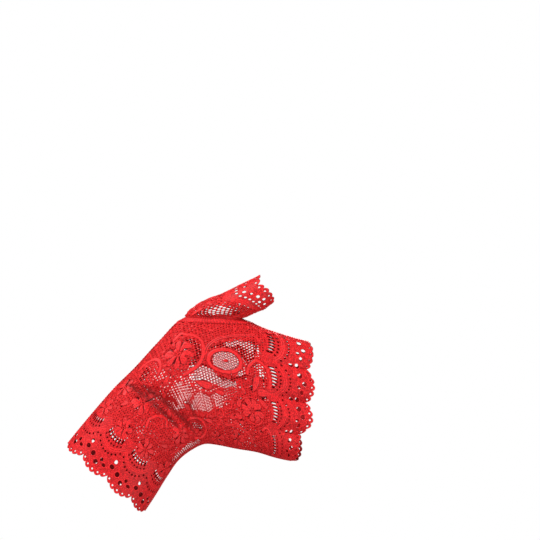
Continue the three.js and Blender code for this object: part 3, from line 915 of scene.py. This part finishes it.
def tulle_net(lace):
    """The finer, sheer net of a few patches."""
    whole = bmesh.new()
    for region in lace.tulle:
        unit = cell_pair(tulle_long, tulle_wide)
        reach = max(region[2], region[3]) + 1
        bmesh.ops.translate(unit, verts=unit.verts, vec=(region[0] - reach, region[1] - reach, 0))
        along_count, across_count = math.ceil(reach / tulle_long), math.ceil(2 * reach / tulle_wide)
        patch = cells_from(unit, along_count, across_count, tulle_long * 2, tulle_wide)
        gone = [f for f in patch.faces
                if not in_ellipse(*f.calc_center_median()[:2], region, 0.9)
                or lace.covered(*f.calc_center_median()[:2], -0.6)]
        bmesh.ops.delete(patch, geom=gone, context="FACES")
        open_cells(patch, tulle_strand, patch.faces[:])
        add_part(whole, patch)
    if whole.faces:
        thicken(whole, tulle_height)
    return whole


def add_fillers(lace, borders, seed, curls, leaves):
    """The small curled threads and leaves between the larger flowers."""
    draw = random.Random(seed)
    taken = []
    for kind in ["curl"] * curls + ["leaf"] * leaves:
        for _ in range(60):
            x, y = draw.uniform(2, lace.length - 2), draw.uniform(0.5, lace.width - 0.5)
            if lace.covered(x, y, 0.7) or any(b.past_edge(x, y) for b in borders):
                continue
            if any(in_ellipse(x, y, hole, 1.1) for hole in lace.holes):
                continue
            if lace.is_open(x, y, 1.2) or lace.is_sheer(x, y, 1.2):
                continue
            if all((x - p) ** 2 + (y - q) ** 2 > filler_gap_squared for p, q in taken):
                break
        else:
            continue
        taken.append((x, y))
        turn = draw.uniform(0, 360)
        size = draw.uniform(0.75, 1.15)
        if kind == "leaf":
            lace.petal(x, y, 3.9 * size, 2.0 * size, turn, heights=small_cloth, rows=5, hides_net=False)
        else:
            sweep = draw.uniform(150, 260)
            path = []
            for i in range(7):
                a = math.radians(turn + sweep * i / 6)
                radius = 1.45 * size * (1 - 0.04 * i)
                path.append(Vector((x + radius * math.cos(a), y + radius * math.sin(a))))
            strip(lace.raised, path, [0.42] * len(path), round_thread, bury_ends=True)


def top_area(bm):
    """The flat area of lace that is still unbent, without its holes."""
    bm.normal_update()
    return sum(face.calc_area() for face in bm.faces if face.normal.z > 0.7)


def lace_piece(name, bm, worn, material, sharp_rims=False):
    """A finished piece of lace, with its own map and the values for its painted shade, laid on the hand."""
    for curve_layer in list(bm.loops.layers.uv):
        bm.loops.layers.uv.remove(curve_layer)
    layer = bm.loops.layers.uv.new("lace")
    relief = bm.verts.layers.float.new("relief")
    painted_hollow_shade = bm.verts.layers.float.new("painted_hollow_shade")
    for vert in bm.verts:
        # Low places are painted darker by the material, as painted shade
        vert[relief] = min(max((vert.co.z - relief_low) / relief_span, 0.0), 1.0)
        # Painted shade for places deep in a crease or between fingers
        if worn.painted_hollow_shade:
            vert[painted_hollow_shade] = worn.painted_hollow_shade(vert.co.x, vert.co.y)
    for face in bm.faces:
        face.smooth = True
        for loop in face.loops:
            loop[layer].uv = (loop.vert.co.x * uv_scale, loop.vert.co.y * uv_scale)
    if sharp_rims:
        for edge in bm.edges:
            edge.smooth = edge.calc_face_angle(0) < rim_angle
    worn.lay(bm)
    made = new_object(name, bm)
    made.data.materials.append(material)
    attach(made, "root")
    return made


def add_node(tree, kind, values=None, **settings):
    """A shader node with its settings, and the fixed values of its sockets."""
    node = tree.nodes.new("ShaderNode" + kind)
    for setting, value in settings.items():
        setattr(node, setting, value)
    for socket, value in (values or {}).items():
        node.inputs[socket].default_value = value
    return node


def thread_material(name, light, dark, roughness, knit, stitches, relief_share):
    """Dyed nylon thread of random tone: painted shade where it lies low, in creases and between fingers,
    and fine stitches outlined in painted shade.
    """
    material = bpy.data.materials.new(name)
    material.use_nodes = True
    tree = material.node_tree
    shader = tree.nodes["Principled BSDF"]
    shader.inputs["Roughness"].default_value = roughness
    shader.inputs["Specular IOR Level"].default_value = 0.18
    shader.inputs["Sheen Weight"].default_value = 0.04
    shader.inputs["Sheen Roughness"].default_value = 0.4
    shader.inputs["Sheen Tint"].default_value = (1.0, 0.45, 0.42, 1.0)
    place = add_node(tree, "TexCoord")
    # Random variation of the thread's tone
    shade = add_node(tree, "TexNoise", {"Scale": 3.0, "Detail": 3.0})
    # The relief, mixed with the random tone, picks a colour between dark and light: low thread gets painted
    # shade
    height = add_node(tree, "Attribute", attribute_name="relief")
    tone = add_node(tree, "Mix", {"Factor": relief_share})
    ramp = add_node(tree, "ValToRGB")
    for stop, position, colour in zip(ramp.color_ramp.elements, (0.25, 0.75), (dark, light)):
        stop.position = position
        stop.color = (*colour, 1)
    stitch_way = add_node(tree, "Mapping", {"Rotation": (0, 0, math.radians(28)), "Scale": (1.6, 0.75, 1)})
    # Dark outlines at the stitch cells' edges are painted shade between stitches; the same cells also give
    # the bump
    cells = add_node(tree, "TexVoronoi", {"Scale": knit}, feature="DISTANCE_TO_EDGE")
    outline = add_node(tree, "MapRange", {"From Max": 0.24, "To Min": 1 - stitches})
    shaded = add_node(tree, "Mix", {"A": (*(c * 0.4 for c in dark), 1)}, data_type="RGBA")
    # Painted shade multiplied into the colour where the lace lies deep in a crease or between fingers
    depth = add_node(tree, "Attribute", attribute_name="painted_hollow_shade")
    painted_crease_shade = add_node(tree, "Mix", {"B": (0.46, 0.32, 0.32, 1)}, data_type="RGBA", blend_type="MULTIPLY")
    bump = add_node(tree, "Bump", {"Strength": 0.5, "Distance": 0.0003})
    for source, output, target, socket in (
            (place, "UV", shade, "Vector"),
            (shade, "Fac", tone, "A"),
            (height, "Fac", tone, "B"),
            (tone, "Result", ramp, "Fac"),
            (place, "UV", stitch_way, "Vector"),
            (stitch_way, "Vector", cells, "Vector"),
            (cells, "Distance", outline, "Value"),
            (outline, "Result", shaded, "Factor"),
            (ramp, "Color", shaded, "B"),
            (depth, "Fac", painted_crease_shade, "Factor"),
            (shaded, "Result", painted_crease_shade, "A"),
            (painted_crease_shade, "Result", shader, "Base Color"),
            (cells, "Distance", bump, "Height"),
            (bump, "Normal", shader, "Normal")):
        tree.links.new(source.outputs[output], target.inputs[socket])
    return material


# Threads: light and dark colour, the dark one painted shade for low thread, roughness, stitches, how dark
# they are outlined with painted shade, share of the relief (painted shade) against random tone
satin_red = thread_material("satin red thread", (0.90, 0.020, 0.024), (0.18, 0.001, 0.003),
                            0.5, 9.0, 0.65, 0.8)
net_red = thread_material("red net thread", (0.80, 0.013, 0.016), (0.46, 0.003, 0.005),
                          0.62, 11.0, 0.4, 0.3)
cloth_red = thread_material("red worked cloth", (0.84, 0.014, 0.018), (0.38, 0.002, 0.005),
                            0.58, 8.0, 0.8, 0.3)
seam_red = thread_material("red overlock thread", (0.80, 0.013, 0.017), (0.26, 0.002, 0.004),
                           0.62, 8.0, 0.6, 0.7)

# Both panels have a flower in each arch of the hem and open net at the wrist's little finger side
wrist_window = (3.4, [(37.0, 82.0), (48.0, 83.0), (60.0, 82.5), (71.0, 83.0)])
hem_flower = (7.0, 7, 12, 4.6)
hem_flower_inland = 34.5

# Closed bands, such as the medallion: x, y, half length, half width, turn, places, breadth, profile
back_ovals = [
    (109.1, 28.8, 10.4, 7.9, -7.5, 14, 3.3, satin_band),
    (123.0, 59.5, 8.8, 8.6, 0, 16, 0.9, round_thread),
]
palm_ovals = [
    (111.5, 31.5, 12.6, 9.8, 8, 16, 2.4, satin_band),
]
# Open net within an oval: x, y, half length, half width, turn
back_open_net = [
    (109.1, 28.8, 9.4, 6.9, -7.5),
    (118.8, 37.5, 2.3, 3.4, 0),
]
palm_open_net = [
    (111.5, 31.5, 11.8, 9.0, 8),
]
# Open net in lines: reach, and the places that a line runs through
back_windows = [
    (1.5, [(129.5, 30.6), (131.8, 32.2), (133.6, 36.5)]),
    (1.4, [(140.3, 28.6), (141.4, 31.5), (142.3, 36.5)]),
    (1.6, [(90.2, 15.6), (94.0, 19.1), (92.6, 26.4), (88.3, 32.5)]),
    (2.2, [(60.5, 16.8), (64.5, 15.0)]),
    (2.2, [(75.5, 69.0), (78.5, 72.5)]),
    wrist_window,
]
palm_windows = [
    (2.6, [(112.5, 17.0), (120.0, 16.2), (127.0, 20.0)]),
    (1.7, [(132.5, 22.5), (134.5, 29.0), (132.5, 36.0)]),
    (2.0, [(66.0, 23.0), (70.5, 29.0)]),
    (2.2, [(104.0, 67.0), (110.0, 71.0)]),
    wrist_window,
]
# Open net within an outline
back_outlines = [
    [(100, 20.5), (107, 15.5), (113.1, 15), (121.8, 12.8), (131, 14.0), (133, 18.0), (127.5, 28.5),
     (122.3, 28), (117.7, 20.5), (108, 19)],
    [(84.5, 40.0), (88, 37), (94.5, 31.5), (97.5, 33), (101, 38.5), (107.2, 40.3), (115.5, 38.5),
     (114, 45.5), (106, 48.5), (99, 44.2), (93, 42.2), (86, 42.5)],
]
palm_outlines = [
    [(66, 44), (74, 36), (84, 34.5), (90, 33.5), (98, 36), (103, 42), (112, 44.0), (119, 42.5),
     (119, 48), (110, 53), (103, 60), (90, 64), (76, 59), (66, 52)],
]
# Sheer patches: x, y, half length, half width, turn
back_tulle = [
    (74.0, 46.5, 10.5, 8.0, 25),
    (87.5, 57.0, 9.5, 6.5, 15),
    (101.0, 55.5, 6.0, 5.0, 0),
]
# Bands and hooks: breadth, profile, and the places that they run through
back_bands = [
    (2.7, satin_band, [(81.5, 12.2), (87.7, 11.4), (92.8, 11.2), (96.4, 14.3), (97.3, 19.7), (95.5, 27.1),
                       (91.3, 33.0), (86.3, 36.2), (80.8, 35.6)]),
    (2.6, double_rib, [(97.8, 26.0), (99.0, 20.5), (104.6, 14.4), (112.7, 11.2), (122.2, 9.6),
                       (130.2, 10.6), (135.0, 14.8)]),
    (2.8, satin_band, [(122.3, 37.0), (124.6, 30.6), (129.8, 26.8), (135.2, 27.8), (137.6, 32.2),
                       (138.3, 37.8), (137.2, 43.0)]),
    (2.6, satin_band, [(70.5, 63.2), (76.1, 63.5), (83.0, 68.3), (84.2, 75.3), (77.2, 79.8), (69.0, 77.6)]),
    (2.6, satin_band, [(60.0, 9.0), (66.5, 9.6), (71.5, 13.5), (72.2, 19.5), (67.5, 24.0)]),
    (2.5, satin_band, [(44.0, 47.0), (50.0, 44.0), (56.0, 46.5), (58.5, 52.5), (55.0, 58.0)]),
    (2.4, double_rib, [(98.0, 75.0), (103.5, 71.8), (112.0, 72.6), (118.0, 76.5), (120.0, 83.0)]),
    (2.0, satin_band, [(44.0, 74.5), (50.0, 76.5), (56.0, 75.0), (60.0, 78.0)]),
    (2.4, satin_band, [(128.0, 71.5), (133.0, 68.0), (137.0, 71.0), (137.5, 76.5)]),
]
palm_bands = [
    (2.7, double_rib, [(105.0, 21.5), (109.0, 15.2), (117.0, 12.2), (126.0, 13.4), (134.0, 17.5),
                       (137.5, 25.0)]),
    (2.7, satin_band, [(70.5, 15.0), (78.0, 12.0), (85.0, 14.5), (88.5, 21.0), (86.0, 28.0), (79.5, 31.5)]),
    (2.6, satin_band, [(128.5, 44.5), (132.0, 39.5), (137.0, 40.0), (139.0, 46.0)]),
    (2.6, satin_band, [(98.0, 74.5), (104.0, 62.5), (112.0, 64.5), (116.0, 72.0), (113.0, 80.0)]),
    (2.5, satin_band, [(56.0, 44.0), (62.0, 41.0), (67.5, 44.5), (68.0, 50.5)]),
    (2.3, satin_band, [(45.0, 74.5), (52.0, 72.5), (59.0, 74.5)]),
]
# Flowers: x, y, radius, petals, turn, width of a petal
back_flowers = [
    (83.0, 22.3, 9.0, 7, 20, 5.6),
    (123.0, 59.5, 8.2, 8, 10, 5.4),
    (111.0, 67.5, 5.0, 6, 30, 3.8),
    (53.0, 31.5, 8.0, 7, 40, 5.0),
    (61.0, 68.0, 7.6, 7, 5, 5.0),
    (109.0, 80.0, 5.6, 6, 20, 4.2),
    (92.5, 82.0, 6.2, 6, 50, 4.4),
    (50.0, 12.5, 6.4, 6, 10, 4.6),
]
palm_flowers = [
    (78.5, 21.5, 7.6, 7, 20, 5.0),
    (129.5, 58.5, 9.6, 8, 10, 5.8),
    (54.5, 30.0, 8.0, 7, 30, 5.0),
    (60.5, 63.5, 7.2, 7, 0, 4.8),
    (86.0, 72.0, 8.4, 7, 15, 5.2),
]
# Petals and leaves: x, y, length, width, turn, curve
back_petals = [
    (127.0, 41.5, 13.0, 6.0, -66, 0.06),
    (133.4, 46.6, 12.0, 6.6, 165, 0.08),
    (131.5, 52.6, 9.5, 5.4, 32, 0.0),
    (92.5, 45.4, 13.0, 7.0, 24, 0.0),
    (101.5, 50.8, 8.0, 4.2, 15, 0.0),
    (114.0, 56.0, 7.5, 4.2, 110, 0.0),
    (76.0, 54.5, 8.5, 4.4, 70, 0.0),
    (62.5, 50.0, 8.0, 4.4, 115, 0.0),
    (46.0, 66.0, 7.0, 4.0, 60, 0.0),
    (44.5, 22.0, 7.0, 4.0, 30, 0.0),
    (72.0, 30.5, 8.0, 4.2, 150, 0.0),
    (66.0, 37.0, 7.0, 3.8, 100, 0.0),
    (89.0, 69.5, 8.0, 4.2, 20, 0.0),
    (118.0, 46.5, 7.0, 3.8, 75, 0.0),
    (137.5, 19.5, 7.0, 3.6, 60, 0.0),
    (131.0, 80.0, 8.0, 4.4, 30, 0.0),
]
palm_petals = [
    (117.5, 54.5, 8.0, 4.4, 70, 0.0),
    (112.0, 59.5, 7.0, 4.0, 20, 0.0),
    (97.0, 13.0, 8.5, 4.4, 20, 0.0),
    (62.0, 12.5, 8.0, 4.2, 165, 0.0),
    (47.0, 13.5, 7.0, 4.2, 30, 0.0),
    (46.5, 50.5, 8.0, 4.4, 95, 0.0),
    (74.5, 83.0, 8.0, 4.2, 30, 0.0),
    (124.5, 77.0, 9.0, 4.6, 130, 0.0),
    (133.0, 73.0, 7.0, 4.0, 60, 0.0),
]


def panel_lace(ovals, open_net, outlines, tulle, windows, bands, flowers, petals):
    lace = Lace(panel_length, panel_width)
    for k in range(scallop_count):
        lace.flower(hem_flower_inland, (k + 0.5) * (panel_width / scallop_count), *hem_flower)
    lace.open_net += open_net
    lace.outlines += outlines
    lace.tulle += tulle
    lace.draw(ovals, windows, bands, flowers, petals)
    return lace


def back_lace():
    lace = panel_lace(back_ovals, back_open_net, back_outlines, back_tulle, back_windows, back_bands,
                      back_flowers, back_petals)
    # The small leaf in the medallion's middle, and two loops between the flowers
    lace.petal(109.1, 28.8, 4.4, 2.6, -8, heights=small_cloth, rows=6)
    lace.ring(106.0, 58.8, 2.6, 1.1)
    lace.ring(99.0, 64.5, 3.0, 1.2)
    return lace


def palm_lace():
    return panel_lace(palm_ovals, palm_open_net, palm_outlines, [], palm_windows, palm_bands,
                      palm_flowers, palm_petals)


def thumb_lace():
    """The tube's lace, with its places across as parts of the girth."""
    lace = Lace(thumb_length, thumb_girth, closed_round=True)
    girth = thumb_girth
    windows = [
        (4.4, [(9.0, girth * 0.68), (13.5, girth * 0.72), (14.0, girth * 0.80)]),
        (4.0, [(9.0, girth * 0.20), (13.0, girth * 0.26)]),
    ]
    bands = [
        (2.2, satin_band, [(4.0, girth * 0.60), (9.5, girth * 0.62), (14.0, girth * 0.63)]),
        (2.2, satin_band, [(2.5, girth * 0.90), (8.0, girth * 0.86), (13.0, girth * 0.89)]),
    ]
    petals = [
        (4.6, girth * 0.76, 7.0, 3.8, 80, 0.0),
        (4.6, girth * 0.98, 7.0, 3.8, 30, 0.0),
        (7.0, girth * 0.10, 8.0, 4.2, 20, 0.0),
        (6.0, girth * 0.38, 8.0, 4.2, 160, 0.0),
        (10.0, girth * 0.50, 8.0, 4.2, 60, 0.0),
    ]
    lace.draw([], windows, bands, [], petals)
    return lace


def panel_borders(lace):
    return [Border(lace, scallop_count, True), Border(lace, scallop_count, False)]


def thumb_borders(lace):
    return [Border(lace, 3, False, scallop=3.0, arch_bottom=14.2, arch_rise=2.6, inland=17.6, cusp=1.2,
                   eyelets=thumb_eyelets, long_cells=0)]


# Pieces of lace: name, node, form, drawing, borders, seed and numbers of curls and leaves
for name, node, worn, lace, borders_of, seed, curls, leaves in (
        ("back_lace", "back_panel", worn_back, back_lace(), panel_borders, 11, 480, 240),
        ("palm_lace", "palm_panel", worn_palm, palm_lace(), panel_borders, 23, 480, 240),
        ("thumb_lace", "thumb_tube", worn_thumb, thumb_lace(), thumb_borders, 37, 90, 40)):
    cloth = bmesh.new()
    borders = borders_of(lace)
    for border in borders:
        border.add_to(cloth)
    add_fillers(lace, borders, seed, curls, leaves)
    net_bm = coarse_net(lace, borders)
    net_area = top_area(net_bm)
    fine_bm = tulle_net(lace)
    main = lace_piece(name + "_net", net_bm, worn, net_red)
    parts = [lace_piece(name + "_border_cloth", cloth, worn, cloth_red, sharp_rims=True),
             lace_piece(name + "_raised_work", lace.raised_work(), worn, satin_red)]
    if fine_bm.faces:
        parts.append(lace_piece(name + "_sheer_net", fine_bm, worn, net_red))
    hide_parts(node)

# Overlocks, in millimetres, apart from the place inside the mitten that they face away from
seam_middle = Vector((0.055, 0, 0.05))
seam_overlap = 0.9
seam_lift = 0.5
seam_thickness = 0.35
stitch_pitch = 0.7
stitch_high = 0.2
stitch_low = -0.1
stitch_bulge = 0.3
corner_overlap = 3.5
ring_rows = 150
ring_on_tube = 3.0
ring_before = 3.0
ring_past = 4.0
hem_left_free = 2.0
finger_edge_left_free = 4.0
little_finger_left_free = 8.0


def overlock(name, node, rows, closed=False):
    """A flat, sewn-over strip through rows of places, with thread after thread across it."""
    bm = bmesh.new()
    last, columns = len(rows) - 1, len(rows[0]) - 1
    layer = bm.loops.layers.uv.new("lace")
    relief = bm.verts.layers.float.new("relief")
    made = bmesh.ops.create_grid(bm, x_segments=last, y_segments=columns, size=0.5)
    for face in bm.faces:
        face.smooth = True
        for loop in face.loops:
            place = loop.vert.co
            loop[layer].uv = ((place.x + 0.5) * last * 0.06, (place.y + 0.5) * columns * uv_scale)
    for vert in made["verts"]:
        i = round((vert.co.x + 0.5) * last)
        j = round((vert.co.y + 0.5) * columns)
        # Every other row lies lower and gets a low relief, which the material paints darker: painted shade
        # between the stitch rows
        vert[relief] = 1.0 if i % 2 else 0.35
        vert.co = rows[i][j]
    if closed:
        bmesh.ops.remove_doubles(bm, verts=bm.verts, dist=0.00001)
    bmesh.ops.recalc_face_normals(bm, faces=bm.faces)
    bm.normal_update()
    outward = sum(face.normal.dot(face.calc_center_median() - seam_middle) for face in bm.faces)
    if outward < 0:
        bmesh.ops.reverse_faces(bm, faces=bm.faces)
    piece = new_object(name, bm)
    wall = piece.modifiers.new("wall", "SOLIDIFY")
    wall.thickness = seam_thickness * MM
    wall.offset = -1
    piece.data.materials.append(seam_red)
    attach(piece, "root")
    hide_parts(node)


def side_rows(start, end, thumb_side_seam):
    """Rows across a side seam, from the back's edge over the seam to the palm's edge."""
    y_edge, inward = (0.0, seam_overlap) if thumb_side_seam else (panel_width, panel_width - seam_overlap)
    rows = []
    count = round((end - start) / stitch_pitch)
    for i in range(count + 1):
        x = start + (end - start) * i / count
        lift = seam_lift + (stitch_high if i % 2 else stitch_low)
        back, palm = worn_back.at(x, y_edge, lift * 0.7), worn_palm.at(x, y_edge, lift * 0.7)
        low, high = worn_back.at(x, inward, lift), worn_palm.at(x, inward, lift)
        middle = (back + palm) / 2
        out = (middle - (low + high) / 2)
        if out.length > 1e-6:
            middle = middle + out.normalized() * lift * 0.5 * MM
        rows.append([low, back.lerp(low, 0.35), middle, palm.lerp(high, 0.35), high])
    return rows


def edge_crossing(palm, run):
    """A panel's edge, and a place just in from it, so far along the line of the thumb's seam."""
    worn = worn_palm if palm else worn_back
    low = panel_length * (thumb_starts - edge_search)
    high = panel_length * (thumb_ends + edge_search)
    x = solve(lambda x: (worn.at(x, 0, 0) / MM - seam_start).dot(seam_line), low, high, run)
    return worn.at(x, 0, seam_lift), worn.at(x, seam_overlap * 1.4, seam_lift)


def thumb_rows():
    """Rows round the thumb's seam, from the panels' edges over the gap to the tube."""
    steps = [i / ring_rows * thumb_girth for i in range(ring_rows + 1)]
    roots_round = [worn_thumb.at(0.0, step, seam_lift) for step in steps]
    runs = [(root / MM - seam_start).dot(seam_line) for root in roots_round]
    nearest, farthest = min(runs), max(runs)
    starts, ends = -ring_before, (seam_end - seam_start).length + ring_past
    rows = []
    for i, (step, root, run) in enumerate(zip(steps, roots_round, runs)):
        palm = i < ring_rows / 2
        share = (run - nearest) / (farthest - nearest)
        edge, inward = edge_crossing(palm, starts + (ends - starts) * share)
        tube = worn_thumb.at(ring_on_tube, step, seam_lift + (stitch_high if i % 2 else 0.0))
        middle = edge.lerp(root, 0.5)
        middle.y += (stitch_bulge * MM if i % 2 else 0.0) * (1 if palm else -1)
        rows.append([inward, edge, middle, root, root.lerp(tube, 0.8)])
    return rows


overlock("cuff_side_overlock", "cuff_side_seam",
         side_rows(hem_left_free, panel_length * thumb_starts + corner_overlap, True))
overlock("index_side_overlock", "index_side_seam",
         side_rows(panel_length * thumb_ends - corner_overlap, panel_length - finger_edge_left_free, True))
overlock("little_side_overlock", "little_side_seam",
         side_rows(hem_left_free, panel_length - little_finger_left_free, False))
overlock("thumb_overlock", "thumb_seam", thumb_rows(), closed=True)

# A white room that the camera sees as plain white, and that lights the lace softly
scene = bpy.context.scene
world = bpy.data.worlds.new("white room")
scene.world = world
world.use_nodes = True
room = world.node_tree
backdrop = room.nodes["Background"]
backdrop.inputs["Color"].default_value = (1, 1, 1, 1)
room_light = add_node(room, "Background", {"Color": (1, 1, 1, 1), "Strength": 0.34})
seen = add_node(room, "LightPath")
choice = add_node(room, "MixShader")
room.links.new(seen.outputs["Is Camera Ray"], choice.inputs["Fac"])
room.links.new(room_light.outputs["Background"], choice.inputs[1])
room.links.new(backdrop.outputs["Background"], choice.inputs[2])
room.links.new(choice.outputs["Shader"], room.nodes["World Output"].inputs["Surface"])

lights_aim = Vector((0.06, 0, 0.06))


def area_light(name, place, size, power):
    data = bpy.data.lights.new(name, "AREA")
    data.size = size
    data.energy = power
    light = bpy.data.objects.new(name, data)
    bpy.context.collection.objects.link(light)
    light.location = place
    light.rotation_euler = (lights_aim - Vector(place)).to_track_quat("-Z", "Y").to_euler()


# The main light from above on the left, a soft one from below on the right, and one on the palm
area_light("key", (-0.45, -0.5, 0.95), 0.28, 18.5)
area_light("fill", (0.6, -0.9, -0.3), 0.6, 10)
area_light("palm_side", (0.35, 1.0, 0.55), 0.5, 16)

camera_data = bpy.data.cameras.new("camera")
camera_data.lens = 164
camera_data.sensor_width = 36
camera = bpy.data.objects.new("camera", camera_data)
bpy.context.collection.objects.link(camera)
camera.location = (0.1076, -1.6, 0.1362)
camera.rotation_euler = (math.radians(90), 0, 0)
scene.camera = camera
scene.view_settings.view_transform = "Standard"
